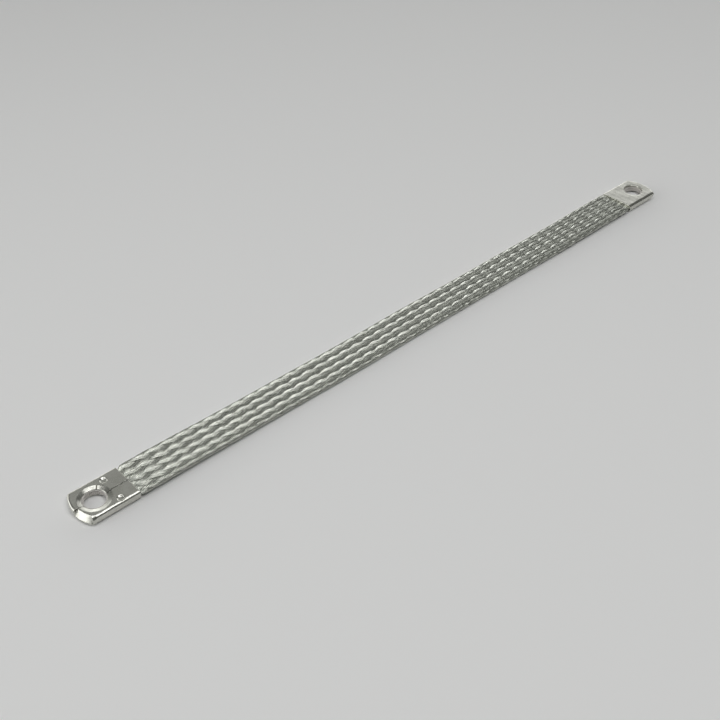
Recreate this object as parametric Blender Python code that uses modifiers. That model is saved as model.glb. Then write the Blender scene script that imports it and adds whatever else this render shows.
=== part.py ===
"""Flexible busbar braid: a flat braid of tinned-copper wires with a pressed ferrule and a bolt hole at each end.

Metres, +Z up. X runs along the strap, and the origin is on the surface that it lies on, below its middle.
"""

import math

import bmesh
import bpy
from mathutils import Matrix, Vector

# The whole strap
STRAP_LENGTH = 0.300
CLEARANCE = 0.0003  # between the braid and the sheet round it

# Ferrules: sheet pressed flat round each end of the braid
FERRULE_LENGTH = 0.0203
FERRULE_WIDTH = 0.0155
SHEET_THICKNESS = 0.0008
TIP_ARC_RADIUS = 0.0143
TIP_CORNER_RADIUS = 0.0009
TIP_EDGE_RADIUS = 0.0013
FOLD_RADIUS = 0.0008
TIP_WALL = 0.0006  # where the press closes the sheet over the braid's cut end, at the tip's corners

# Bolt holes
BOLT_HOLE_DIAMETER = 0.0084
BOLT_HOLE_FROM_TIP = 0.0078
HOLE_RIM_RADIUS = 0.0006

# Lengthwise seam where the sheet's two edges meet, and the punch dimple on each side of it
SEAM_WIDTH = 0.0003
SEAM_GROOVE_DEPTH = 0.0002
SEAM_OFF_MIDDLE = 0.0005  # towards -Y
DIMPLE_DIAMETER = 0.0030
DIMPLE_FLOOR = 0.0004  # sheet left under a dimple
DIMPLE_FROM_MOUTH = 0.0061
DIMPLE_FROM_SIDE = 0.0025  # if the seam were on the middle line

# Braid
PRESSED_THICKNESS = 0.0012
BRAID_WIDTH = 0.0160
BRAID_THICKNESS = 0.0020
STRANDS_EACH_WAY = 18
STRAND_STEP = 0.0060  # along the strap, from one strand to the next of the same lay
STRAND_RIDGE = 0.00015  # how far a strand stands out of the mean surface
FLARE_LENGTH = 0.0016  # from a ferrule's mouth to the braid's full section
LIFT_AT_MOUTH = 0.0002  # of the braid's middle, above the ferrule's
LIE_DOWN_LENGTH = 0.090  # from a mouth to where the braid lies on the surface
SIDE_WANDER = 0.00018
WIDTH_WANDER = 0.0002

# Smoothness of the round shapes
ARC_STEPS = 14
HOLE_STEPS = 40
ROUND_STEPS = 4
SHARP_ANGLE = math.radians(40)
OVERCUT = 0.00003  # how far a cutter's round shape runs past the face that it opens

# Tinned copper
SHEET_COLOUR = (0.64, 0.65, 0.62)
SHEET_ROUGHNESS = 0.32
WIRE_COLOUR = (0.60, 0.61, 0.57)
WIRE_ROUGHNESS = 0.38

# Derived sizes
FERRULE_THICKNESS = 2 * (SHEET_THICKNESS + CLEARANCE) + PRESSED_THICKNESS
POCKET_WIDTH = FERRULE_WIDTH - 2 * SHEET_THICKNESS
POCKET_FROM_TIP = TIP_WALL + TIP_ARC_RADIUS - math.sqrt(TIP_ARC_RADIUS**2 - POCKET_WIDTH**2 / 4)
MOUTH_X = STRAP_LENGTH / 2 - FERRULE_LENGTH
BRAID_END_X = STRAP_LENGTH / 2 - POCKET_FROM_TIP - CLEARANCE
HOLE_X = STRAP_LENGTH / 2 - BOLT_HOLE_FROM_TIP
DIMPLE_DEPTH = SHEET_THICKNESS - DIMPLE_FLOOR
PRESSED_WIDTH = POCKET_WIDTH - 2 * CLEARANCE
POINTS_AROUND = 2 * STRANDS_EACH_WAY


def start_collections():
    """Clear the file, and return the collections for the parts and for the cutters."""
    for old in list(bpy.data.objects):
        bpy.data.objects.remove(old, do_unlink=True)
    found = []
    for name in ("flexible_busbar_braid", "cutters"):
        collection = bpy.data.collections.new(name)
        bpy.context.scene.collection.children.link(collection)
        found.append(collection)
    return found


PARTS, CUTTERS = start_collections()


def metal(name, colour, roughness):
    """A metal surface of one colour."""
    material = bpy.data.materials.new(name)
    material.use_nodes = True
    shader = material.node_tree.nodes["Principled BSDF"]
    shader.inputs["Base Color"].default_value = (*colour, 1.0)
    shader.inputs["Metallic"].default_value = 1.0
    shader.inputs["Roughness"].default_value = roughness
    return material


def add_object(name, bm, collection):
    """Link a bmesh as a named object, with its faces pointing out."""
    bmesh.ops.recalc_face_normals(bm, faces=bm.faces)
    mesh = bpy.data.meshes.new(name)
    bm.to_mesh(mesh)
    bm.free()
    thing = bpy.data.objects.new(name, mesh)
    collection.objects.link(thing)
    if collection is CUTTERS:
        thing.hide_render = True
        thing.display_type = "WIRE"
    return thing


def cut(target, cutter):
    """Take one shape out of a part."""
    modifier = target.modifiers.new(cutter.name, "BOOLEAN")
    modifier.operation = "DIFFERENCE"
    modifier.solver = "EXACT"
    modifier.object = cutter


def box_cutter(name, low, high):
    """A block from its lowest and highest corners."""
    low, high = Vector(low), Vector(high)
    size = high - low
    place = Matrix.Translation((low + high) / 2) @ Matrix.Diagonal((*size, 1.0))
    bm = bmesh.new()
    bmesh.ops.create_cube(bm, size=1.0, matrix=place)
    return add_object(name, bm, CUTTERS)


def turned_cutter(name, centre, profile):
    """A shape turned about the upright line through a point, from (radius, height) steps between two points on it."""
    bm = bmesh.new()
    ring = [bm.verts.new((radius, 0.0, height)) for radius, height in profile]
    edges = [bm.edges.new(pair) for pair in zip(ring, ring[1:])]
    bmesh.ops.spin(
        bm,
        geom=ring + edges,
        axis=(0.0, 0.0, 1.0),
        cent=(0.0, 0.0, 0.0),
        angle=2 * math.pi,
        steps=HOLE_STEPS,
        use_merge=True,
    )
    bmesh.ops.remove_doubles(bm, verts=bm.verts, dist=1e-6)
    bmesh.ops.translate(bm, verts=bm.verts, vec=centre)
    return add_object(name, bm, CUTTERS)


# Ferrules


def ferrule_outline():
    """Corners of the palm seen from above, with its tip at x = 0 and its mouth at x = FERRULE_LENGTH."""
    half_width = FERRULE_WIDTH / 2
    half_angle = math.asin(half_width / TIP_ARC_RADIUS)
    points = [(FERRULE_LENGTH, -half_width), (FERRULE_LENGTH, half_width)]
    for step in range(ARC_STEPS + 1):
        angle = math.pi - half_angle + 2 * half_angle * step / ARC_STEPS
        points.append((TIP_ARC_RADIUS * (1 + math.cos(angle)), TIP_ARC_RADIUS * math.sin(angle)))
    return points


def outline_block(points, thickness):
    """A flat outline as a solid plate standing on z = 0."""
    curve = bpy.data.curves.new("ferrule_outline", "CURVE")
    curve.dimensions = "2D"
    curve.fill_mode = "BOTH"
    curve.extrude = thickness / 2
    spline = curve.splines.new("POLY")
    spline.points.add(len(points) - 1)
    for point, (x, y) in zip(spline.points, points):
        point.co = (x, y, 0.0, 1.0)
    spline.use_cyclic_u = True
    drawn = bpy.data.objects.new("ferrule_outline", curve)
    CUTTERS.objects.link(drawn)
    filled = bpy.data.meshes.new_from_object(drawn.evaluated_get(bpy.context.evaluated_depsgraph_get()))
    bm = bmesh.new()
    bm.from_mesh(filled)
    bmesh.ops.remove_doubles(bm, verts=bm.verts, dist=1e-6)
    bmesh.ops.dissolve_limit(bm, angle_limit=math.radians(1), verts=bm.verts, edges=bm.edges)
    bmesh.ops.translate(bm, verts=bm.verts, vec=(0.0, 0.0, thickness / 2))
    bpy.data.objects.remove(drawn)
    bpy.data.curves.remove(curve)
    bpy.data.meshes.remove(filled)
    return bm


def is_upright(edge):
    """Whether an edge runs straight up."""
    return abs(edge.verts[0].co.z - edge.verts[1].co.z) > 0.5 * FERRULE_THICKNESS


def is_tip_corner(edge):
    """The two upright edges where the tip's arc meets the straight sides."""
    return is_upright(edge) and all(
        abs(v.co.y) > 0.49 * FERRULE_WIDTH and v.co.x < 0.5 * FERRULE_LENGTH for v in edge.verts
    )


def rim_radius(edge):
    """How far an edge of the block is rounded: most at the tip, the sheet's fold along the sides, 0 at the mouth."""
    if is_upright(edge) or all(v.co.x > FERRULE_LENGTH - CLEARANCE for v in edge.verts):
        return 0.0
    along_side = any(v.co.x > FERRULE_LENGTH - CLEARANCE for v in edge.verts)
    return FOLD_RADIUS if along_side else TIP_EDGE_RADIUS


def pressed_sleeve(name, material):
    """A ferrule with its seam up, its tip at x = 0 and its mouth towards +X, before any cut."""
    bm = outline_block(ferrule_outline(), FERRULE_THICKNESS)
    bmesh.ops.bevel(
        bm,
        geom=[edge for edge in bm.edges if is_tip_corner(edge)],
        offset=TIP_CORNER_RADIUS,
        offset_type="OFFSET",
        segments=ROUND_STEPS,
        profile=0.5,
        affect="EDGES",
        material=-1,
    )
    weight = bm.edges.layers.float.new("bevel_weight_edge")
    for edge in bm.edges:
        edge[weight] = rim_radius(edge) / TIP_EDGE_RADIUS
    ferrule = add_object(name, bm, PARTS)
    ferrule.data.materials.append(material)
    rounding = ferrule.modifiers.new("rounded_rim", "BEVEL")
    rounding.limit_method = "WEIGHT"
    rounding.width = TIP_EDGE_RADIUS
    rounding.segments = ROUND_STEPS
    return ferrule


def hole_profile():
    """Half section of the bolt hole's cutter, flared past both faces to round the rim over."""
    radius = BOLT_HOLE_DIAMETER / 2
    wide = radius + HOLE_RIM_RADIUS
    lower = [(wide, -OVERCUT)]
    for step in range(1, ROUND_STEPS + 1):
        angle = 0.5 * math.pi * step / ROUND_STEPS
        lower.append((wide - HOLE_RIM_RADIUS * math.sin(angle), HOLE_RIM_RADIUS * (1 - math.cos(angle))))
    upper = [(r, FERRULE_THICKNESS - z) for r, z in reversed(lower)]
    low, high = -FERRULE_THICKNESS, 2 * FERRULE_THICKNESS
    return [(0.0, low), (wide, low), *lower, *upper, (wide, high), (0.0, high)]


def dimple_profile():
    """Half section of a punch dimple's cutter, a shallow bowl that runs out past the seam face."""
    radius = DIMPLE_DIAMETER / 2
    bowl_radius = (radius**2 + DIMPLE_DEPTH**2) / (2 * DIMPLE_DEPTH)
    bottom = FERRULE_THICKNESS - DIMPLE_DEPTH
    half_angle = math.acos(1 - (DIMPLE_DEPTH + OVERCUT) / bowl_radius)
    profile = [(0.0, bottom)]
    for step in range(1, ROUND_STEPS + 1):
        angle = half_angle * step / ROUND_STEPS
        profile.append((bowl_radius * math.sin(angle), bottom + bowl_radius * (1 - math.cos(angle))))
    return profile + [(profile[-1][0], 2 * FERRULE_THICKNESS), (0.0, 2 * FERRULE_THICKNESS)]


def ferrule_cutters(name):
    """Everything that is cut out of one ferrule, in the frame of pressed_sleeve."""
    half_pocket = POCKET_WIDTH / 2
    top = FERRULE_THICKNESS
    beyond = FERRULE_LENGTH + CLEARANCE
    seam_y = -SEAM_OFF_MIDDLE
    half_seam = SEAM_WIDTH / 2
    dimple_x = FERRULE_LENGTH - DIMPLE_FROM_MOUTH
    cutters = [
        box_cutter(
            name + "_pocket",
            (POCKET_FROM_TIP, -half_pocket, SHEET_THICKNESS),
            (beyond, half_pocket, top - SHEET_THICKNESS),
        ),
        turned_cutter(name + "_bolt_hole", (BOLT_HOLE_FROM_TIP, 0.0, 0.0), hole_profile()),
        box_cutter(
            name + "_seam",
            (BOLT_HOLE_FROM_TIP, seam_y - half_seam, top - SHEET_THICKNESS - CLEARANCE / 2),
            (beyond, seam_y + half_seam, 2 * top),
        ),
        box_cutter(
            name + "_seam_groove",
            (-CLEARANCE, seam_y - half_seam, top - SEAM_GROOVE_DEPTH),
            (BOLT_HOLE_FROM_TIP, seam_y + half_seam, 2 * top),
        ),
    ]
    for side, label in ((-1, "_front_dimple"), (1, "_back_dimple")):
        centre = (dimple_x, seam_y + side * (FERRULE_WIDTH / 2 - DIMPLE_FROM_SIDE), 0.0)
        cutters.append(turned_cutter(name + label, centre, dimple_profile()))
    return cutters


def place(thing, matrix):
    """Move a shape by moving the points of its mesh."""
    thing.data.transform(matrix)
    thing.data.update()


def build_ferrule(name, material, matrix):
    """One pressed ferrule, cut and put in its place."""
    ferrule = pressed_sleeve(name, material)
    place(ferrule, matrix)
    for cutter in ferrule_cutters(name):
        place(cutter, matrix)
        cut(ferrule, cutter)
    ferrule.data.shade_smooth()
    ferrule.data.set_sharp_from_angle(angle=SHARP_ANGLE)


# Braid


def eased(share):
    """A smooth rise from 0 to 1."""
    share = min(max(share, 0.0), 1.0)
    return share * share * (3 - 2 * share)


def woven_share(x):
    """How much of the braid's full woven section there is at x: 0 inside the ferrules, 1 past the flare."""
    return eased((MOUTH_X - abs(x)) / FLARE_LENGTH)


def wander(x):
    """Slow drift along the woven stretch, from -1 to 1, as a long wave and a shorter one."""
    turn = 2 * math.pi * x / STRAP_LENGTH
    return 0.6 * math.sin(2.3 * turn + 0.4) + 0.4 * math.sin(5.1 * turn + 1.9)


def braid_middle(x):
    """Sideways place and height of the braid's middle at x: it leaves the ferrules level and lies down between them."""
    share = woven_share(x)
    level = FERRULE_THICKNESS / 2
    lying = BRAID_THICKNESS / 2 + STRAND_RIDGE
    mouth = level + LIFT_AT_MOUTH * share
    down = eased((MOUTH_X - abs(x)) / LIE_DOWN_LENGTH)
    return SIDE_WANDER * wander(x) * share, mouth + (lying - mouth) * down


def flat_section(share, width, thickness):
    """A point and its outward direction on a flattened tube's section, by share of the way round it."""
    radius = thickness / 2
    straight = width - thickness
    round_end = math.pi * radius
    way = (share % 1.0) * 2 * (straight + round_end)
    if way < straight:
        return Vector((way - straight / 2, radius)), Vector((0.0, 1.0))
    way -= straight
    if way < round_end:
        turn = way / radius
        out = Vector((math.sin(turn), math.cos(turn)))
        return Vector((straight / 2, 0.0)) + radius * out, out
    way -= round_end
    if way < straight:
        return Vector((straight / 2 - way, -radius)), Vector((0.0, -1.0))
    turn = (way - straight) / radius
    out = Vector((-math.sin(turn), -math.cos(turn)))
    return Vector((-straight / 2, 0.0)) + radius * out, out


def weave_shift(column):
    """How far along the strap a row of points is shifted at each column, so that the rows follow the strands.

    A strand crosses over two of the other lay and then under two, and the places where it does stay in lengthwise
    columns. Its floats slant one way in one pair of columns and the other way in the next pair.
    """
    return 0.5 * STRAND_STEP * (column % 4 in (1, 2))


def strand_height(column, row):
    """The weave's ridges, from 1 on a strand to -1 between two strands, at a column and a row."""
    ridge = 1 if row % 2 == 0 else -1
    return ridge if column % 4 < 2 else -ridge


def row_places():
    """Where each row of points lies along the strap, with its number in the weave, from end to end.

    In the woven stretch there are two rows to a strand, one on the strand and one between it and the next.
    """
    woven = MOUTH_X - FLARE_LENGTH
    count = round(2 * woven / (0.5 * STRAND_STEP))
    middle = [(-woven + 2 * woven * row / count, row) for row in range(count + 1)]
    pressed = [BRAID_END_X, MOUTH_X, MOUTH_X - FLARE_LENGTH / 2]
    before = [(-x, 0) for x in pressed]
    after = [(x, 0) for x in reversed(pressed)]
    return before + middle + after


def braid_point(column, x, row):
    """The surface of the braid at a column round it and a place along it."""
    share = woven_share(x)
    full = share >= 1.0
    past_flare = eased((MOUTH_X - FLARE_LENGTH - abs(x)) / STRAND_STEP)
    x += (weave_shift(column) - 0.25 * STRAND_STEP) * past_flare
    side, height = braid_middle(x)
    woven_width = BRAID_WIDTH + WIDTH_WANDER * wander(-x)
    width = PRESSED_WIDTH + (woven_width - PRESSED_WIDTH) * share
    thickness = PRESSED_THICKNESS + (BRAID_THICKNESS - PRESSED_THICKNESS) * share
    surface, out = flat_section(column / POINTS_AROUND, width, thickness)
    surface = surface + out * STRAND_RIDGE * strand_height(column, row) * full
    return Vector((x, side + surface.x, height + surface.y))


def build_braid(material):
    """The woven strap with its two pressed ends, and the bolt holes through them."""
    rows = row_places()
    last = len(rows) - 1
    bm = bmesh.new()
    bmesh.ops.create_cone(
        bm, cap_ends=True, segments=POINTS_AROUND, radius1=1.0, radius2=1.0, depth=last
    )
    sides = [edge for edge in bm.edges if abs(edge.verts[0].co.z - edge.verts[1].co.z) > 0.5 * last]
    bmesh.ops.subdivide_edges(bm, edges=sides, cuts=last - 1, use_grid_fill=True)
    for vert in bm.verts:
        column = round(math.atan2(vert.co.y, vert.co.x) / (2 * math.pi) * POINTS_AROUND) % POINTS_AROUND
        x, row = rows[round(vert.co.z + last / 2)]
        vert.co = braid_point(column, x, row)
    braid = add_object("braid", bm, PARTS)
    braid.data.materials.append(material)
    low, high = -FERRULE_THICKNESS, 2 * FERRULE_THICKNESS
    hole = [(0.0, low), (BOLT_HOLE_DIAMETER / 2, low), (BOLT_HOLE_DIAMETER / 2, high), (0.0, high)]
    for side, label in ((-1, "near"), (1, "far")):
        cut(braid, turned_cutter(label + "_braid_hole", (side * HOLE_X, 0.0, 0.0), hole))


# The strap put together: the near ferrule has its seam up, and the far one is turned over

SEAM_UP = Matrix.Translation((-STRAP_LENGTH / 2, 0.0, 0.0))
SEAM_DOWN = Matrix.Translation((STRAP_LENGTH / 2, 0.0, FERRULE_THICKNESS)) @ Matrix.Rotation(math.pi, 4, "Y")

build_ferrule("near_ferrule", metal("near_tinned_sheet", SHEET_COLOUR, SHEET_ROUGHNESS), SEAM_UP)
build_ferrule("far_ferrule", metal("far_tinned_sheet", SHEET_COLOUR, SHEET_ROUGHNESS), SEAM_DOWN)
build_braid(metal("tinned_wire", WIRE_COLOUR, WIRE_ROUGHNESS))
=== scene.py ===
from math import cos, pi, radians, sin

import bmesh
import bpy
import numpy as np
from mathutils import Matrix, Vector


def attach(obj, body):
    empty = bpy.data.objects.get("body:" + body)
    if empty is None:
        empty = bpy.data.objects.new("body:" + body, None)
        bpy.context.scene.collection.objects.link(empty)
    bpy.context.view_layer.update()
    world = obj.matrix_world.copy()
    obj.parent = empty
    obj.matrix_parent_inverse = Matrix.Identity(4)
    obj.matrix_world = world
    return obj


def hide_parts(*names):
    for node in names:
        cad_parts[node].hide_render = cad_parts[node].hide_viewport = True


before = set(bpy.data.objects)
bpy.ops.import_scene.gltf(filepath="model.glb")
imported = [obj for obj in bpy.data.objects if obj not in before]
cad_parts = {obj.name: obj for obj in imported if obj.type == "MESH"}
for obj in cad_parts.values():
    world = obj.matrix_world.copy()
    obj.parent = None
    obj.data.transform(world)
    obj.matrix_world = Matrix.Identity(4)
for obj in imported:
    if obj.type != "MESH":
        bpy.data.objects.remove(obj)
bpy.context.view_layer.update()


# THE BRAID
# The flexible part: a tube woven from 36 strands of fine tinned-copper wire, 18 turning each way, each over
# two and under two of the others. It is rolled flat, and its ends are pressed inside the ferrules.
STRAP_LENGTH = 0.300
MOUTH_X = 0.1297
FERRULE_THICKNESS = 0.0034
FLARE_LENGTH = 0.0016  # from a ferrule's mouth to the braid's full section
LIFT_AT_MOUTH = 0.0002  # of the braid's middle, above the ferrule's
LIE_DOWN_LENGTH = 0.090  # from a mouth to where the braid lies on the floor
SIDE_WANDER = 0.00018
WIDTH_WANDER = 0.0002
WANDER_WAVES = ((0.6, 2.3, 0.4), (0.4, 5.1, 1.9))  # size, waves in the strap's length, start

BRAID_WIDTH = 0.0160
BRAID_HALF_THICKNESS = 0.00115
PRESSED_WIDTH = 0.0136
PRESSED_HALF_THICKNESS = 0.00085
STRAND_INSERTION = 0.0024  # inside each ferrule
STRAND_END_X = MOUTH_X + STRAND_INSERTION

STRANDS_EACH_WAY = 18
STRAND_STEP = 0.0060  # along the strap, from a strand to the next of its lay
TURN_LENGTH = STRANDS_EACH_WAY * STRAND_STEP
STRANDS_A_REPEAT = 4  # over two and under two
WIRES_SEEN = 8
POINTS_A_WIRE = 4
POINTS_BELOW = 6
RING_POINTS = WIRES_SEEN * POINTS_A_WIRE + POINTS_BELOW
STEPS_ALONG = 240
STRANDS_A_PIECE = 9
STRAND_FILL = 0.95  # of the room between its neighbours
STRAND_BACK_SHARE = 0.46  # of its width, to each side
STRAND_HALF_DEPTH = 0.00017
WIRE_RADIUS = 0.00010
STRAND_CROWN = 0.00004
WEAVE_RISE = 0.00022  # of a strand's middle, over the others and under them
WEAVE_SQUARENESS = 2.2  # more gives longer tops and quicker dips
PRESSED_RISE_SHARE = 0.3  # of the full rise, inside the ferrules
RISE_SPREAD = 0.15  # either way, along each strand
RISE_STRETCH = 3.0  # drift lengths for one such change
EDGE_RISE = 0.3  # added round the braid's long edges
STRAND_DRIFT = 0.00006  # to each side of its even course
WIRE_DRIFT = 0.00002  # of a wire, in and out of its strand
DRIFT_LENGTHS = (0.018, 0.034)  # shortest, longest
WEAVE_SEED = 7

WIRE_DARK = (0.50, 0.515, 0.465)
WIRE_LIGHT = (0.77, 0.785, 0.73)
WIRE_MAP_SCALE = 100.0
STRAND_SHARP_ANGLE = radians(70.0)
ROUTE_POINTS = 33


def eased(share):
    """Turn a share of the way, from 0 to 1, into one that starts and stops gently."""
    share = np.clip(share, 0.0, 1.0)
    return share * share * (3.0 - 2.0 * share)


def wander(x):
    """Give the slow uneven swing, from -1 to 1, of a braid that was laid down by hand."""
    turn = 2.0 * pi * x / STRAP_LENGTH
    return sum(size * np.sin(waves * turn + start) for size, waves, start in WANDER_WAVES)


def woven_share(x):
    """Say how far the braid has opened from its pressed end, at 0, to its full weave, at 1."""
    return eased((MOUTH_X - np.abs(x)) / FLARE_LENGTH)


def braid_middle(x):
    """Give the y and z of the braid's centre line, which leaves the ferrules level and then lies down."""
    share = woven_share(x)
    mouth = FERRULE_THICKNESS / 2.0 + LIFT_AT_MOUTH * share
    down = eased((MOUTH_X - np.abs(x)) / LIE_DOWN_LENGTH)
    return SIDE_WANDER * wander(x) * share, mouth + (BRAID_HALF_THICKNESS - mouth) * down


def flat_tube(share, straight, radius):
    """Give a point and its outward direction, as y and z pairs, part of the way round a flat tube."""
    turn = pi * radius
    way = np.mod(share, 1.0) * (4.0 * straight + 2.0 * turn)
    right = (way - 2.0 * straight) / radius
    left = (way - 4.0 * straight - turn) / radius
    on_top = way < 2.0 * straight
    on_right = (way >= 2.0 * straight) & (right < pi)
    on_left = left >= 0.0
    below = ~(on_top | on_right | on_left)
    angle = np.where(on_right, right, np.where(on_left, left + pi, np.where(below, pi, 0.0)))
    along_top = -straight + way
    along_bottom = straight - (way - 2.0 * straight - turn)
    round_middle = np.where(on_right, straight, -straight)
    middle = np.where(on_top, along_top, np.where(below, along_bottom, round_middle))
    out_y = np.sin(angle)
    out_z = np.cos(angle)
    return middle + radius * out_y, radius * out_z, out_y, out_z


def weave_wave(phase):
    """Give the height of a strand, from -1 to 1: flat over two others and under two, with quick dips."""
    return np.tanh(WEAVE_SQUARENESS * np.cos(phase)) / np.tanh(WEAVE_SQUARENESS)


def strand_section():
    """Give a strand's outline, as shares of its width and heights: wires on top, and a plain back."""
    on_top = np.arange(WIRES_SEEN * POINTS_A_WIRE + 1)
    across_wire = 2.0 * np.mod(on_top, POINTS_A_WIRE) / POINTS_A_WIRE - 1.0
    bump = np.sqrt(np.maximum(0.0, 1.0 - across_wire ** 2)) * WIRE_RADIUS
    top_share = on_top / (WIRES_SEEN * POINTS_A_WIRE) - 0.5
    top_height = STRAND_HALF_DEPTH - WIRE_RADIUS + bump - STRAND_CROWN * (2.0 * top_share) ** 2
    back_share = np.linspace(STRAND_BACK_SHARE, -STRAND_BACK_SHARE, POINTS_BELOW - 1)
    back_height = -STRAND_HALF_DEPTH + STRAND_CROWN * (2.0 * back_share) ** 2
    return np.concatenate([top_share, back_share]), np.concatenate([top_height, back_height])


def strand_blank():
    """Make one plain straight strand, and give the mesh and each point's place round it and along it."""
    shape = bmesh.new()
    bmesh.ops.create_cone(
        shape, cap_ends=True, cap_tris=False, segments=RING_POINTS, radius1=1.0, radius2=1.0, depth=1.0
    )
    lengthwise = [edge for edge in shape.edges if abs(edge.verts[0].co.z - edge.verts[1].co.z) > 0.5]
    bmesh.ops.subdivide_edges(shape, edges=lengthwise, cuts=STEPS_ALONG - 1)
    shape.verts.ensure_lookup_table()
    places = np.array([vert.co[:] for vert in shape.verts])
    turned = np.arctan2(places[:, 1], places[:, 0]) / (2.0 * pi) * RING_POINTS
    first = np.arctan2(places[0, 1], places[0, 0]) / (2.0 * pi) * RING_POINTS
    ring = np.mod(np.rint(turned - first), RING_POINTS).astype(int)
    step = np.rint((places[:, 2] + 0.5) * STEPS_ALONG).astype(int)
    blank = bpy.data.meshes.new("strand_blank")
    shape.to_mesh(blank)
    shape.free()
    return blank, ring, step


def woven_strand(number, lay, ring, step, chance):
    """Lay one strand into the weave: give its points, and for each its way along and across the wires."""
    share, height = strand_section()
    centre_x = STRAND_END_X * (2.0 * step / STEPS_ALONG - 1.0)
    opened = woven_share(centre_x)
    half_thickness = PRESSED_HALF_THICKNESS + (BRAID_HALF_THICKNESS - PRESSED_HALF_THICKNESS) * opened
    width = PRESSED_WIDTH + (BRAID_WIDTH + WIDTH_WANDER * wander(-centre_x) - PRESSED_WIDTH) * opened
    rise = WEAVE_RISE * (PRESSED_RISE_SHARE + (1.0 - PRESSED_RISE_SHARE) * opened)
    radius = half_thickness - STRAND_HALF_DEPTH - WIRE_DRIFT - rise * (1.0 + RISE_SPREAD)
    straight = width / 2.0 - half_thickness
    round_length = 4.0 * straight + 2.0 * pi * radius
    slant = np.arctan2(round_length, TURN_LENGTH)

    phases = chance.uniform(0.0, 2.0 * pi, 4 + WIRES_SEEN)
    lengths = chance.uniform(*DRIFT_LENGTHS, 2 + WIRES_SEEN)
    drift = STRAND_DRIFT * np.sin(2.0 * pi * centre_x / lengths[0] + phases[0])
    wire = np.minimum(ring // POINTS_A_WIRE, WIRES_SEEN - 1)
    loose = WIRE_DRIFT * np.sin(2.0 * pi * centre_x / lengths[2 + wire] + phases[4 + wire])
    own_rise = 1.0 + RISE_SPREAD * np.sin(2.0 * pi * centre_x / (RISE_STRETCH * lengths[1]) + phases[1])

    across = share[ring] * STRAND_FILL * round_length / STRANDS_EACH_WAY * np.cos(slant) + drift
    x = centre_x - lay * across * np.sin(slant)
    round_share = number / STRANDS_EACH_WAY + lay * centre_x / TURN_LENGTH
    round_share = round_share + across * np.cos(slant) / round_length
    crossed = STRANDS_EACH_WAY * (round_share + lay * x / TURN_LENGTH)
    wave = lay * weave_wave(2.0 * pi * (number + crossed - 0.5) / STRANDS_A_REPEAT)
    y, z, out_y, out_z = flat_tube(round_share, straight, radius)
    own_rise = own_rise * (1.0 + EDGE_RISE * np.abs(out_y))
    proud = rise * own_rise * wave + height[ring] + np.where(ring < WIRES_SEEN * POINTS_A_WIRE, loose, 0.0)
    middle_y, middle_z = braid_middle(x)
    points = np.stack([x, middle_y + y + proud * out_y, middle_z + z + proud * out_z], axis=1)
    wires_before = (number + (STRANDS_EACH_WAY if lay < 0 else 0)) * WIRES_SEEN
    return points, np.stack([centre_x * WIRE_MAP_SCALE, wires_before + ring / POINTS_A_WIRE], axis=1)


def joined_mesh(name, points, blank, copies):
    """Make one object of several copies of a blank mesh, with every point moved to its own place."""
    shape = bmesh.new()
    for _ in range(copies):
        shape.from_mesh(blank)
    mesh = bpy.data.meshes.new(name)
    shape.to_mesh(mesh)
    shape.free()
    mesh.vertices.foreach_set("co", points.astype(np.float32).ravel())
    mesh.update()
    shape = bmesh.new()
    shape.from_mesh(mesh)
    bmesh.ops.recalc_face_normals(shape, faces=shape.faces)
    shape.to_mesh(mesh)
    shape.free()
    piece = bpy.data.objects.new(name, mesh)
    bpy.context.scene.collection.objects.link(piece)
    return piece


def smooth_but_sharp(piece, angle):
    """Shade a piece smooth, apart from the edges that bend by more than an angle."""
    piece.data.polygons.foreach_set("use_smooth", np.ones(len(piece.data.polygons), dtype=bool))
    piece.data.set_sharp_from_angle(angle=angle)


class Shade:
    """One output of a shader node, which Python's own operators can work on."""

    def __init__(self, tree, socket):
        self.tree = tree
        self.socket = socket

    def node(self, kind, settings, sockets, output=0):
        """Add a node, set it up, feed its sockets with values or links, and give one of its outputs."""
        made = self.tree.nodes.new(kind)
        for name, value in settings.items():
            setattr(made, name, value)
        for name, value in sockets.items():
            if isinstance(value, Shade):
                self.tree.links.new(value.socket, made.inputs[name])
            else:
                made.inputs[name].default_value = value
        return Shade(self.tree, made.outputs[output])

    def maths(self, operation, first, second):
        """Work out a sum, difference or product of two values."""
        return self.node("ShaderNodeMath", {"operation": operation}, {0: first, 1: second})

    def __add__(self, other):
        return self.maths("ADD", self, other)

    def __radd__(self, other):
        return self.maths("ADD", other, self)

    def __sub__(self, other):
        return self.maths("SUBTRACT", self, other)

    def __rsub__(self, other):
        return self.maths("SUBTRACT", other, self)

    def __mul__(self, other):
        return self.maths("MULTIPLY", self, other)

    def __rmul__(self, other):
        return self.maths("MULTIPLY", other, self)

    def noise(self, stretch, scale, detail=3.0, roughness=0.55):
        """Give a cloudy pattern from 0 to 1 over these coordinates, stretched along each axis."""
        placed = self.node("ShaderNodeVectorMath", {"operation": "MULTIPLY"}, {0: self, 1: stretch})
        return placed.node("ShaderNodeTexNoise", {}, {
            "Vector": placed, "Scale": scale, "Detail": detail, "Roughness": roughness,
        })

    def between(self, low, high):
        """Spread the values from low to high over the whole of 0 to 1, and hold the rest at the ends."""
        return self.node(
            "ShaderNodeMapRange", {"clamp": True}, {"Value": self, "From Min": low, "From Max": high}
        )

    def mixed(self, first, second):
        """Blend two colours, each a node's or four numbers, by these values."""
        return self.node(
            "ShaderNodeMix", {"data_type": "RGBA"}, {"Factor": self, 6: first, 7: second}, output=2
        )

    def colour(self, dark, light):
        """Blend a dark and a light colour by these values."""
        return self.mixed((*dark, 1.0), (*light, 1.0))

    def bump(self, strength, distance):
        """Give the normals of a surface that these values raise by up to a distance."""
        return self.node(
            "ShaderNodeBump", {}, {"Strength": strength, "Distance": distance, "Height": self}
        )


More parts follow.
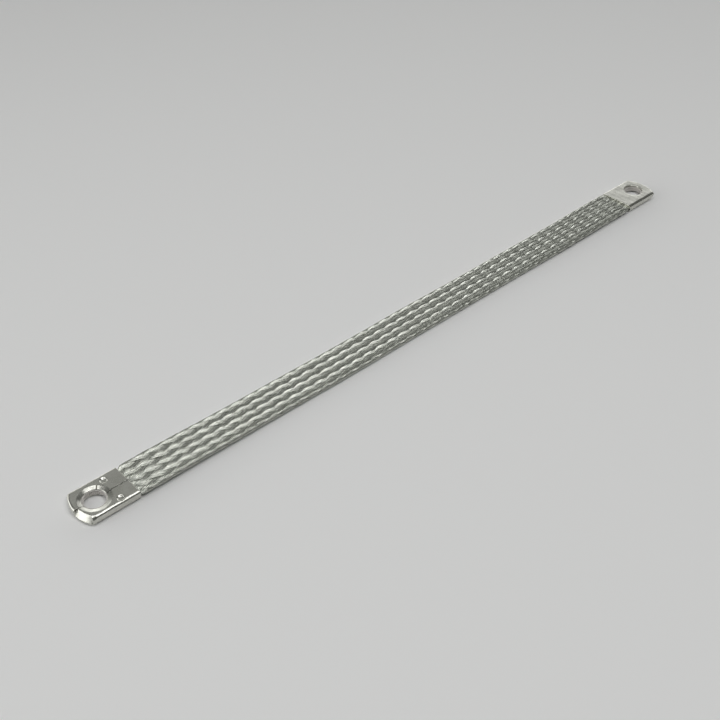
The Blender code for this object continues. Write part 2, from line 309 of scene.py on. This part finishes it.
def new_metal(name):
    """Start a metal: give it, its shader, and the coordinates of the piece and of its own map."""
    metal = bpy.data.materials.new(name)
    metal.use_nodes = True
    shader = metal.node_tree.nodes["Principled BSDF"]
    shader.inputs["Metallic"].default_value = 1.0
    place = metal.node_tree.nodes.new("ShaderNodeTexCoord")
    tree = metal.node_tree
    return metal, shader, Shade(tree, place.outputs["Object"]), Shade(tree, place.outputs["UV"])


def feed(shader, name, value):
    """Link a value into one socket of a shader."""
    value.tree.links.new(value.socket, shader.inputs[name])


wire_metal, wire_shader, _, along_wires = new_metal("tinned_wire_bright")
streaks = along_wires.noise(stretch=(0.9, 0.8, 1.0), scale=1.0, detail=3.0)
fine_streaks = along_wires.noise(stretch=(7.0, 3.0, 1.0), scale=1.0, detail=2.0)
wire_tone = (0.65 * streaks + 0.35 * fine_streaks).between(0.36, 0.64)
feed(wire_shader, "Base Color", wire_tone.colour(WIRE_DARK, WIRE_LIGHT))
feed(wire_shader, "Roughness", 0.30 - 0.10 * wire_tone)

blank_strand, blank_ring, blank_step = strand_blank()
chance = np.random.RandomState(WEAVE_SEED)
for lay, lay_name in ((1, "right"), (-1, "left")):
    for half in (0, 1):
        laid = [
            woven_strand(half * STRANDS_A_PIECE + count, lay, blank_ring, blank_step, chance)
            for count in range(STRANDS_A_PIECE)
        ]
        laid_points = np.concatenate([points for points, _ in laid])
        strands = joined_mesh(
            f"braid_{lay_name}_lay_{half + 1}", laid_points, blank_strand, STRANDS_A_PIECE
        )
        wire_map = strands.data.uv_layers.new(name="along_wires")
        corners = np.empty(len(strands.data.loops), dtype=int)
        strands.data.loops.foreach_get("vertex_index", corners)
        wire_map.data.foreach_set("uv", np.concatenate([places for _, places in laid])[corners].ravel())
        smooth_but_sharp(strands, STRAND_SHARP_ANGLE)
        strands.data.materials.append(wire_metal)
        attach(strands, "root")
        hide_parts("braid")
bpy.data.meshes.remove(blank_strand)

route_x = np.linspace(-MOUTH_X, MOUTH_X, ROUTE_POINTS)
route_y, route_z = braid_middle(route_x)


# THE FERRULES
# A sleeve of 0.8 mm tinned-copper sheet is pressed flat round each end of the braid. Its tip is rounded and
# drilled for an M8 bolt, its edges meet in a seam, and two punched dimples lock it to the braid.
FERRULE_LENGTH = 0.0203
HALF_WIDTH = 0.0155 / 2.0
SHEET_THICKNESS = 0.0008
TIP_ARC_RADIUS = 0.0143
TIP_CORNER_RADIUS = 0.0009
TIP_EDGE_RADIUS = 0.0011
TIP_BEVEL_WIDTH = 0.0018  # on the seamed face, in front of the seam
TIP_BEVEL_DROP = 0.0023
TIP_BEVEL_START = 0.0003  # from the seam to the bevel's full size
TIP_BEVEL_END = 0.0016  # from the tip's corner, along the side, to its end
TIP_SLANT_BLEND = 0.0005  # from the tip's corner to a plain slant
TIP_FOLD_BLEND = 0.0022  # from the tip's corner to the side's plain fold
FOLD_RADIUS = 0.0012
MOUTH_EDGE_RADIUS = 0.00015
HOLE_RADIUS = 0.0084 / 2.0
HOLE_FROM_TIP = 0.0078
HOLE_RIM_RADIUS = 0.0003
FUNNEL_WIDTH = 0.0020
FUNNEL_WIDER_IN_FRONT = 0.0005  # and as much narrower behind
FUNNEL_DEPTH = 0.00066
SLANT_EASE = 0.3  # share of a slant's width in which it sets in
FUNNEL_LIP_RADIUS = 0.00015
NICK_TURN = radians(50.0)  # round the hole, from the strap's length
NICK_HALF_WIDTH = 0.00017
NICK_DEPTH = 0.00004
NICK_SHADE_SHARE = 0.5  # of the seam's painted shade
POCKET_HALF_WIDTH = 0.0139 / 2.0
POCKET_HALF_HEIGHT = 0.0009
POCKET_SHOWN = 0.0030  # depth from the mouth
POCKET_STEPS = ((0.0, 0.5), (0.0, 1.0), (0.33, 1.0), (0.66, 1.0), (1.0, 1.0), (1.0, 0.0))  # depth, height
HOLE_GROOVE = 0.0005  # depth between the two walls of sheet, behind the cut wires
SEAM_OFF_MIDDLE = 0.0005
SEAM_HALF_WIDTH = 0.00016
SEAM_DEPTH = 0.00045
SEAM_DEPTH_AT_TIP = 0.00015
SEAM_POWER = 0.8
SEAM_JOGS = ((0.00007, 3100.0, 0.5), (0.00005, 7300.0, 0.0), (0.00003, 12900.0, 2.0))  # size, pace, start
DIMPLE_RADIUS = 0.0015
DIMPLE_FLAT_RADIUS = 0.0006
DIMPLE_DEPTH = 0.00042
DIMPLE_FROM_MOUTH = 0.0061
DIMPLE_FROM_SIDE = 0.0025
DISH_WIDTH = 0.0014
DISH_DEPTH = 0.00004
WAVINESS = 0.00005
SHEET_WAVES = (  # size, pace along, pace across, start
    (0.5, 900.0, 400.0, 0.7), (0.3, -600.0, 1500.0, 0.0), (0.2, 2600.0, 0.0, 0.0),
)
PLANE_STEPS = 50
PLANE_CROWDING = 1.25  # above 1, the lines are closer together near the hole
BACK_STEPS = 22
EDGE_STEPS = 10
RIM_STEPS = 6
LEAST_SQUARENESS = 0.45  # of a line from the hole to the edge that it meets
TOLERANCE = 0.000001

# Places of the points along half of the mouth, from the middle, and of the first ones along the side, from
# the mouth. They are close together at the seam and at the corners of the pocket and of the sleeve.
MOUTH_PLACES = np.concatenate([
    np.arange(0.0, 1.40, 0.05), np.arange(1.40, 6.0, 0.25),
    [6.05, 6.25, 6.45, 6.62, 6.76, 6.86, 6.93, 6.95], [7.05, 7.2, 7.35, 7.5, 7.6, 7.68, 7.72, 7.74],
]) / 1000.0
SIDE_PLACES = np.array([0.0, 0.07, 0.15, 0.25, 0.4, 0.6]) / 1000.0
SIDE_START = 0.00085
SIDE_STEPS = 60
CORNER_POINTS = 9
ARC_POINTS = 32
ARC_CLOSE = 0.00110
ARC_CLOSE_STEP = 0.00005
ARC_CLOSE_POINTS = 22

SHEET_DARK = (0.57, 0.57, 0.52)
SHEET_LIGHT = (0.72, 0.72, 0.67)
# Painted shade: the seam and the funnel's nick are coloured nearly black, as the shade in them.
SHEET_PAINTED_SHADE = (0.08, 0.075, 0.06)
SHEET_SHARP_ANGLE = radians(50.0)


def ferrule_edge():
    """Walk round the ferrule as seen from above: give its edge, and the rounding of each face there.

    A point is a distance from the tip and one across. A face is rounded over a width, measured inwards
    from the edge, and falls by a drop at the edge itself. Its flatness says how much of the rounding is a
    plain slant instead.
    """
    mouth = np.stack([np.full_like(MOUTH_PLACES, FERRULE_LENGTH), MOUTH_PLACES], axis=1)

    corner_y = HALF_WIDTH - TIP_CORNER_RADIUS
    corner_reach = TIP_ARC_RADIUS - TIP_CORNER_RADIUS
    corner_a = TIP_ARC_RADIUS - np.sqrt(corner_reach ** 2 - corner_y ** 2)
    side_a = np.concatenate([
        FERRULE_LENGTH - SIDE_PLACES,
        np.linspace(FERRULE_LENGTH - SIDE_START, corner_a, SIDE_STEPS, endpoint=False),
    ])
    side = np.stack([side_a, np.full_like(side_a, HALF_WIDTH)], axis=1)

    lean = np.arctan2(corner_y, TIP_ARC_RADIUS - corner_a)
    corner_turn = np.linspace(0.0, pi / 2.0 - lean, CORNER_POINTS)
    corner = np.stack([
        corner_a - TIP_CORNER_RADIUS * np.sin(corner_turn),
        corner_y + TIP_CORNER_RADIUS * np.cos(corner_turn),
    ], axis=1)
    arc_turn = np.concatenate([
        np.linspace(lean, ARC_CLOSE / TIP_ARC_RADIUS, ARC_POINTS)[1:],
        np.linspace(ARC_CLOSE - ARC_CLOSE_STEP, 0.0, ARC_CLOSE_POINTS) / TIP_ARC_RADIUS,
    ])
    arc = np.stack([
        TIP_ARC_RADIUS * (1.0 - np.cos(arc_turn)), TIP_ARC_RADIUS * np.sin(arc_turn)
    ], axis=1)
    half = np.concatenate([mouth, side, corner, arc])
    other = half[-2:0:-1] * (1.0, -1.0)
    edge = np.concatenate([half, other])

    at_tip = eased((corner_a + TIP_FOLD_BLEND - edge[:, 0]) / TIP_FOLD_BLEND)
    plain = FOLD_RADIUS + (TIP_EDGE_RADIUS - FOLD_RADIUS) * at_tip
    bevelled = eased((corner_a + TIP_BEVEL_END - edge[:, 0]) / TIP_BEVEL_END)
    bevelled = bevelled * eased((-SEAM_OFF_MIDDLE - edge[:, 1]) / TIP_BEVEL_START)
    width = plain + (TIP_BEVEL_WIDTH - plain) * bevelled
    drop = plain + (TIP_BEVEL_DROP - plain) * bevelled
    flatness = bevelled * eased((corner_a - edge[:, 0]) / TIP_SLANT_BLEND)
    return edge, (width, drop, flatness), (plain, plain, 0.0 * plain)


def distance_to_rim(points, rim):
    """Give each point's distance from a line of rim points, and the number of its nearest stretch."""
    run = rim[1:] - rim[:-1]
    best = np.full(len(points), 1.0)
    nearest = np.zeros(len(points), dtype=int)
    for number in range(len(run)):
        offset = points - rim[number]
        share = np.clip(offset @ run[number] / (run[number] @ run[number]), 0.0, 1.0)
        distance = np.linalg.norm(offset - share[:, None] * run[number], axis=1)
        closer = distance < best
        best = np.where(closer, distance, best)
        nearest = np.where(closer, number, nearest)
    return best, nearest


def fallen(inside):
    """Give the share of its drop that a rounding has made, from 0 at its start to 1 at the edge itself."""
    return 1.0 - np.sqrt(1.0 - np.clip(inside, 0.0, 1.0) ** 2)


def slanted(inside):
    """Give the share of its drop that a plain slant with an eased start has made, from 0 to 1."""
    inside = np.clip(inside, 0.0, 1.0)
    fall = np.where(inside < SLANT_EASE, inside ** 2 / (2.0 * SLANT_EASE), inside - SLANT_EASE / 2.0)
    return fall / (1.0 - SLANT_EASE / 2.0)


def slow_waves(a, y):
    """Give the gentle unevenness of pressed sheet, from about -1 to 1."""
    return sum(size * np.sin(along * a + across * y + start) for size, along, across, start in SHEET_WAVES)


def seam_path(a):
    """Give the y of the seam, with the small jogs of two sheared edges pressed together."""
    return sum(size * np.sin(pace * a + start) for size, pace, start in SEAM_JOGS) - SEAM_OFF_MIDDLE


def seam_share(a, y):
    """Say how deep in the seam a place on the seamed face is, from 0 beside it to 1 at its bottom."""
    return np.clip(1.0 - np.abs(y - seam_path(a)) / SEAM_HALF_WIDTH, 0.0, 1.0)


def nick_share(a, y):
    """Say how deep in the funnel's nick a place is, from 0 beside it to 1 at its bottom."""
    off_nick = y * cos(NICK_TURN) - (a - HOLE_FROM_TIP) * sin(NICK_TURN)
    from_hole = np.hypot(a - HOLE_FROM_TIP, y)
    in_funnel = (from_hole < HOLE_RADIUS + FUNNEL_WIDTH - FUNNEL_WIDER_IN_FRONT) & (y > 0.0)
    return np.where(in_funnel, np.exp(-(off_nick / NICK_HALF_WIDTH) ** 2), 0.0)


def face_marks(a, y, seamed):
    """Give how far a face stands above its plane: a little uneven, and dished round the hole.

    On the seamed face the hole's rim is driven down to a funnel with one nick in it instead, and the seam
    and the two dimples are pressed in.
    """
    from_hole = np.hypot(a - HOLE_FROM_TIP, y)
    height = WAVINESS * (slow_waves(a, y if seamed else -y) - 1.0)
    if not seamed:
        return height - DISH_DEPTH * (1.0 - eased((from_hole - HOLE_RADIUS) / DISH_WIDTH))
    funnel_width = FUNNEL_WIDTH - FUNNEL_WIDER_IN_FRONT * y / np.maximum(from_hole, HOLE_RADIUS)
    height -= FUNNEL_DEPTH * slanted(1.0 - (from_hole - HOLE_RADIUS) / funnel_width)
    height -= NICK_DEPTH * nick_share(a, y)
    seam_depth = np.where(a > HOLE_FROM_TIP, SEAM_DEPTH, SEAM_DEPTH_AT_TIP)
    height -= seam_depth * seam_share(a, y) ** SEAM_POWER
    for side in (1.0, -1.0):
        off_a = a - (FERRULE_LENGTH - DIMPLE_FROM_MOUTH)
        off_y = y + SEAM_OFF_MIDDLE - side * (HALF_WIDTH - DIMPLE_FROM_SIDE)
        past_flat = (np.hypot(off_a, off_y) - DIMPLE_FLAT_RADIUS) / (DIMPLE_RADIUS - DIMPLE_FLAT_RADIUS)
        height -= DIMPLE_DEPTH * (1.0 - eased(past_flat))
    return np.minimum(height, 0.0)


def ferrule_skin():
    """Work out the ferrule's points, as lines round the hole, and how deep each lies in the seam or the
    nick, for its painted shade.
    """
    edge, seamed_rounding, plain_rounding = ferrule_edge()
    away = edge - (HOLE_FROM_TIP, 0.0)
    heading = away / np.linalg.norm(away, axis=1)[:, None]
    ahead = np.roll(edge, -1, axis=0) - np.roll(edge, 1, axis=0)
    inward = np.stack([-ahead[:, 1], ahead[:, 0]], axis=1) / np.linalg.norm(ahead, axis=1)[:, None]
    squareness = np.maximum(LEAST_SQUARENESS, np.abs(np.sum(inward * heading, axis=1)))
    thickness = FERRULE_THICKNESS
    hole = np.array([HOLE_FROM_TIP, 0.0])
    on_rim = (edge[:, 0] < FERRULE_LENGTH - TOLERANCE) | (np.abs(edge[:, 1]) > HALF_WIDTH - TOLERANCE)
    plan, level, crevice_shade = [], [], []
    none = np.zeros(len(edge))

    def drop_at(spot, rounding):
        """Give how far the rounded edges have fallen at each place of a line across a face."""
        width, fall, flatness = (values[on_rim] for values in rounding)
        distance, nearest = distance_to_rim(spot, edge[on_rim])
        inside = 1.0 - distance / width[nearest]
        share = flatness[nearest] * slanted(inside) + (1.0 - flatness[nearest]) * fallen(inside)
        at_side = fall[nearest] * share
        at_mouth = MOUTH_EDGE_RADIUS * fallen(1.0 - (FERRULE_LENGTH - spot[:, 0]) / MOUTH_EDGE_RADIUS)
        return np.maximum(at_side, at_mouth)

    def ring(radius, z):
        """Add a level line of one radius round the hole."""
        plan.append(hole + heading * radius)
        level.append(np.full(len(edge), z))
        crevice_shade.append(none)

    def face(steps, seamed, lip_radius, rounding, outward):
        """Add the lines of one face, from the hole's lip out to the edge or the other way."""
        rim_turns = np.linspace(0.0, pi / 2.0, RIM_STEPS + 1)
        radii = HOLE_RADIUS + lip_radius * (1.0 - np.cos(rim_turns))
        drops = lip_radius * (1.0 - np.sin(rim_turns))
        rows = [(hole + heading * radius, np.full(len(edge), drop)) for radius, drop in zip(radii, drops)]
        start = rows[-1][0]
        reach = rounding[0] / squareness
        stop = edge - heading * reach[:, None]
        shares = np.linspace(0.0, 1.0, steps + 1)[1:] ** PLANE_CROWDING
        spots = [start + (stop - start) * share for share in shares]
        for turn in np.linspace(0.0, pi / 2.0, EDGE_STEPS + 1)[1:]:
            spots.append(edge - heading * (reach * (1.0 - np.sin(turn)))[:, None])
        rows += [(spot, drop_at(spot, rounding)) for spot in spots]
        for spot, drop in rows if outward else rows[::-1]:
            marks = face_marks(spot[:, 0], spot[:, 1], seamed)
            plan.append(spot)
            level.append(thickness - drop + marks if seamed else drop - marks)
            # Painted shade: the seam gets its full share, and the nick a part of it.
            in_seam = seam_share(spot[:, 0], spot[:, 1])
            in_nick = nick_share(spot[:, 0], spot[:, 1])
            crevice_shade.append(in_seam + NICK_SHADE_SHARE * in_nick if seamed else none)

    ring(HOLE_RADIUS + HOLE_GROOVE, thickness / 2.0)
    ring(HOLE_RADIUS + HOLE_GROOVE, thickness - SHEET_THICKNESS)
    ring(HOLE_RADIUS, thickness - SHEET_THICKNESS)
    face(PLANE_STEPS, True, FUNNEL_LIP_RADIUS, seamed_rounding, True)

    in_pocket = np.abs(edge[:, 1]) < POCKET_HALF_WIDTH - TOLERANCE
    at_mouth = np.isclose(edge[:, 0], FERRULE_LENGTH) & in_pocket
    past_straight = np.maximum(0.0, np.abs(edge[:, 1]) - (POCKET_HALF_WIDTH - POCKET_HALF_HEIGHT))
    half_height = np.sqrt(np.maximum(0.0, POCKET_HALF_HEIGHT ** 2 - past_straight ** 2))
    top, bottom = level[-1], drop_at(edge, plain_rounding)
    wall = POCKET_STEPS + tuple((depth, -height) for depth, height in POCKET_STEPS[-2::-1])
    for number, (depth, height) in enumerate(wall):
        plain = top + (bottom - top) * (number + 1) / (len(wall) + 1)
        lip = thickness / 2.0 + np.sign(height) * half_height
        edge_level = top if height > 0 else bottom
        pocket = (lip + edge_level) / 2.0 if abs(height) == 0.5 else lip
        plan.append(edge - np.where(at_mouth, depth * POCKET_SHOWN, 0.0)[:, None] * (1.0, 0.0))
        level.append(np.where(at_mouth, pocket, plain))
        crevice_shade.append(none)

    face(BACK_STEPS, False, HOLE_RIM_RADIUS, plain_rounding, False)
    ring(HOLE_RADIUS, SHEET_THICKNESS)
    ring(HOLE_RADIUS + HOLE_GROOVE, SHEET_THICKNESS)
    return np.stack(plan, axis=1), np.stack(level, axis=1), np.stack(crevice_shade, axis=1)


def ring_mesh(name, points, crevice_shade):
    """Make a closed ring-shaped object from a grid of points whose rows and columns both join up.

    It keeps, as a point attribute, how deep each point lies in a groove or gap, from 0 to 1, for painted
    shade.
    """
    across, along = points.shape[0], points.shape[1]
    shape = bmesh.new()
    bmesh.ops.create_grid(shape, x_segments=across, y_segments=along, size=0.5)
    depth = shape.verts.layers.float.new("crevice_shade")
    shape.verts.ensure_lookup_table()
    for vert in shape.verts:
        row = round((vert.co.x + 0.5) * across) % across
        column = round((vert.co.y + 0.5) * along) % along
        vert.co = points[row, column]
        vert[depth] = crevice_shade[row, column]
    bmesh.ops.remove_doubles(shape, verts=shape.verts, dist=1e-7)
    bmesh.ops.recalc_face_normals(shape, faces=shape.faces)
    mesh = bpy.data.meshes.new(name)
    shape.to_mesh(mesh)
    shape.free()
    piece = bpy.data.objects.new(name, mesh)
    bpy.context.scene.collection.objects.link(piece)
    return piece


def at_near_end(a, y, z):
    """Place points at the near end, where the seamed face is up."""
    return np.stack([-STRAP_LENGTH / 2.0 + a, y, z], axis=-1)


def at_far_end(a, y, z):
    """Place points at the far end, where the ferrule is turned over."""
    return np.stack([STRAP_LENGTH / 2.0 - a, y, FERRULE_THICKNESS - z], axis=-1)


sheet_metal, sheet_shader, sheet_place, _ = new_metal("tinned_sheet_satin")
mottle = sheet_place.noise(stretch=(1.0, 1.0, 1.0), scale=260.0, detail=4.0)
rubs = sheet_place.noise(stretch=(0.12, 1.0, 1.0), scale=5200.0, detail=2.0)
grain = sheet_place.noise(stretch=(1.0, 1.0, 1.0), scale=2600.0, detail=3.0, roughness=0.7)
sheet_tone = (0.55 * mottle + 0.25 * rubs + 0.20 * grain).between(0.36, 0.64)
# Painted shade: the sheet turns nearly black along the seam and in the nick, as the shade there.
seam_shade_mask = sheet_place.node("ShaderNodeAttribute", {"attribute_name": "crevice_shade"}, {}, output=2)
sheet_colour = sheet_tone.colour(SHEET_DARK, SHEET_LIGHT)
feed(sheet_shader, "Base Color", seam_shade_mask.between(0.0, 0.3).mixed(sheet_colour, (*SHEET_PAINTED_SHADE, 1.0)))
feed(sheet_shader, "Roughness", 0.32 - 0.12 * sheet_tone)
feed(sheet_shader, "Normal", (0.5 * rubs + 0.5 * grain).bump(strength=0.3, distance=0.00002))

skin_plan, skin_level, skin_seam_shade = ferrule_skin()
for name, placed in (("near_ferrule", at_near_end), ("far_ferrule", at_far_end)):
    ferrule = ring_mesh(
        f"{name}_sheet", placed(skin_plan[..., 0], skin_plan[..., 1], skin_level), skin_seam_shade
    )
    smooth_but_sharp(ferrule, SHEET_SHARP_ANGLE)
    ferrule.data.materials.append(sheet_metal)
    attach(ferrule, "root")
    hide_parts(name)


# THE PRESSED WIRE ENDS
# Between the two walls of each ferrule the braid is crushed solid. The drill has cut through it, and its
# wires show as the rough, slightly coppery wall of the bolt hole.
CUT_BACK_GAP = 0.00003
CUT_SIDE_GAP = 0.00002
CUT_BACK_RADIUS = HOLE_RADIUS + HOLE_GROOVE - CUT_BACK_GAP
CUT_HALF_HEIGHT = FERRULE_THICKNESS / 2.0 - SHEET_THICKNESS - CUT_SIDE_GAP
CUT_SLICES = 420
CUT_ROWS = 18
CUT_ROUGHNESS = 0.00042  # depth between the wires that stand out most and least
CUT_STREAKS = ((37, 0.5), (61, 0.4), (97, 0.35), (131, 0.25))  # waves round the hole, size
CUT_LAYERS = ((5, 7.0), (9, 11.0), (14, 5.0))  # waves round the hole, tilt
CUT_LAYER_SIZE = 0.4
CUT_CONTRAST = 0.25
CUT_ENDS = (("near", at_near_end, 3, 0.00055), ("far", at_far_end, 4, 0.00080))  # name, place, seed, reach
CUT_DARK = (0.74, 0.72, 0.69)
CUT_LIGHT = (0.92, 0.90, 0.87)
# Painted shade: the deeper gaps between the cut wires are coloured darker, as shade.
CUT_PAINTED_SHADE = (0.36, 0.33, 0.31)
CUT_METALLIC = 0.45
CUT_SHARP_ANGLE = radians(50.0)


def cut_wires(seed, reach):
    """Work out the ring of cut wires: distance from the tip, distance across and height of each point.

    The wires stand into the hole by a reach.
    """
    draw = np.random.RandomState(seed)
    turn = np.linspace(0.0, 2.0 * pi, CUT_SLICES, endpoint=False)
    height = np.linspace(1.0, -1.0, CUT_ROWS + 1)
    streak = np.zeros(CUT_SLICES)
    for waves, size in CUT_STREAKS:
        streak += size * np.sin(waves * turn + draw.uniform(0.0, 2.0 * pi))
    layers = np.zeros((CUT_SLICES, CUT_ROWS + 1))
    for waves, tilt in CUT_LAYERS:
        tilted = waves * turn[:, None] + tilt * height[None, :]
        layers += CUT_LAYER_SIZE * np.sin(tilted + draw.uniform(0.0, 2.0 * pi))
    bite = np.clip(0.5 + CUT_CONTRAST * (streak[:, None] + layers), 0.0, 1.0)
    radius = HOLE_RADIUS - reach + CUT_ROUGHNESS * bite
    back = np.full((CUT_SLICES, 1), CUT_BACK_RADIUS)
    radii = np.concatenate([radius, back, back], axis=1)
    heights = np.concatenate([height, [-1.0, 1.0]]) * CUT_HALF_HEIGHT + FERRULE_THICKNESS / 2.0
    a = HOLE_FROM_TIP + radii * np.cos(turn)[:, None]
    y = radii * np.sin(turn)[:, None]
    # Painted shade for each point: more where the wires are set back, and full behind them.
    crevice_shade = np.concatenate([bite, np.ones((CUT_SLICES, 2))], axis=1)
    return (a, y, np.broadcast_to(heights, a.shape)), crevice_shade


cut_metal, cut_shader, cut_place, _ = new_metal("cut_wire_ends")
cut_shader.inputs["Metallic"].default_value = CUT_METALLIC
cut_tone = cut_place.noise(stretch=(1.0, 1.0, 0.4), scale=3000.0, detail=3.0).between(0.35, 0.65)
cut_colour = cut_tone.colour(CUT_DARK, CUT_LIGHT)
# Painted shade between the cut wires, darker where they are set back.
wire_gap_shade_mask = cut_place.node("ShaderNodeAttribute", {"attribute_name": "crevice_shade"}, {}, output=2)
feed(cut_shader, "Base Color", wire_gap_shade_mask.between(0.4, 1.0).mixed(cut_colour, (*CUT_PAINTED_SHADE, 1.0)))
feed(cut_shader, "Roughness", 0.50 - 0.14 * cut_tone)

for name, placed, seed, reach in CUT_ENDS:
    wire_points, wire_gap_shade = cut_wires(seed, reach)
    wires = ring_mesh(f"{name}_cut_wires", placed(*wire_points), wire_gap_shade)
    smooth_but_sharp(wires, CUT_SHARP_ANGLE)
    wires.data.materials.append(cut_metal)
    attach(wires, "root")
    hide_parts("braid")


# THE FLOOR
# The strap lies on a plain surface, pale and matt, which reaches well past the edges of the picture. It is
# no part of the strap.
FLOOR_SIZE = 2.0
FLOOR_COLOUR = (0.88, 0.88, 0.88)
FLOOR_ROUGHNESS = 0.9

floor_shape = bmesh.new()
bmesh.ops.create_grid(floor_shape, x_segments=1, y_segments=1, size=FLOOR_SIZE)
floor_mesh = bpy.data.meshes.new("floor")
floor_shape.to_mesh(floor_mesh)
floor_shape.free()
floor = bpy.data.objects.new("floor", floor_mesh)
bpy.context.scene.collection.objects.link(floor)
floor_paint = bpy.data.materials.new("pale_floor")
floor_paint.use_nodes = True
floor_shader = floor_paint.node_tree.nodes["Principled BSDF"]
floor_shader.inputs["Base Color"].default_value = (*FLOOR_COLOUR, 1.0)
floor_shader.inputs["Roughness"].default_value = FLOOR_ROUGHNESS
floor.data.materials.append(floor_paint)


# THE LIGHT
# Two wide soft lamps hang overhead, a weak one stands beyond the far end, and a tall one to the left. The
# surround is grey, much paler near the ground behind the strap and a little paler in one patch above that.
SURROUND_DARK = (0.105, 0.107, 0.101)
SURROUND_PALE = (2.00, 2.01, 1.97)
PATCH_DIRECTION = (0.272, 0.652, 0.708)
PATCH_STRENGTH = 0.12


def soft_lamp(name, place, aim, width, height, power):
    """Hang a rectangular lamp at a place, turned to an aim."""
    lamp = bpy.data.lights.new(name, "AREA")
    lamp.shape = "RECTANGLE"
    lamp.size = width
    lamp.size_y = height
    lamp.energy = power
    holder = bpy.data.objects.new(name, lamp)
    holder.location = place
    holder.rotation_euler = (Vector(aim) - Vector(place)).to_track_quat("-Z", "Y").to_euler()
    bpy.context.scene.collection.objects.link(holder)


soft_lamp(
    "front_overhead_lamp", place=(0.08, -0.44, 1.0), aim=(0.08, -0.10, 0.0),
    width=0.70, height=0.40, power=3.0,
)
soft_lamp(
    "near_overhead_lamp", place=(-0.20, 0.06, 1.0), aim=(-0.20, 0.06, 0.0),
    width=0.86, height=0.42, power=1.8,
)
soft_lamp(
    "far_end_lamp", place=(0.9, 0.47, 0.50), aim=(0.15, 0.0, 0.0),
    width=0.62, height=0.40, power=0.43,
)
soft_lamp(
    "left_lamp", place=(-0.93, 0.34, 0.46), aim=(-0.15, 0.0, 0.0),
    width=0.60, height=0.80, power=2.4,
)

world = bpy.data.worlds.new("grey_surround")
world.use_nodes = True
surround = world.node_tree.nodes["Background"]
sight = world.node_tree.nodes.new("ShaderNodeTexCoord")
heading = Shade(world.node_tree, sight.outputs["Generated"])
backwards = heading.node("ShaderNodeSeparateXYZ", {}, {"Vector": heading}, output=1)
upwards = heading.node("ShaderNodeSeparateXYZ", {}, {"Vector": heading}, output=2)
pale = backwards.between(-0.4, 0.6) * (1.0 - upwards.between(0.12, 0.44))
towards_patch = heading.node(
    "ShaderNodeVectorMath", {"operation": "DOT_PRODUCT"}, {0: heading, 1: PATCH_DIRECTION}, output=1
)
pale = pale + PATCH_STRENGTH * towards_patch.between(0.90, 0.99)
feed(surround, "Color", pale.colour(SURROUND_DARK, SURROUND_PALE))
surround.inputs["Strength"].default_value = 1.0
bpy.context.scene.world = world


# THE CAMERA
# It looks down along the strap from beyond the near ferrule's side, as the photograph does. The lens is
# slightly long, and everything is in focus.
lens = bpy.data.cameras.new("camera")
lens.lens = 53.34
lens.sensor_width = 36.0
camera = bpy.data.objects.new("camera", lens)
camera.location = (-0.23768, -0.23093, 0.25415)
camera.rotation_euler = (radians(50.49), 0.0, radians(-42.35))
bpy.context.scene.collection.objects.link(camera)
bpy.context.scene.camera = camera
bpy.context.scene.view_settings.view_transform = "Standard"
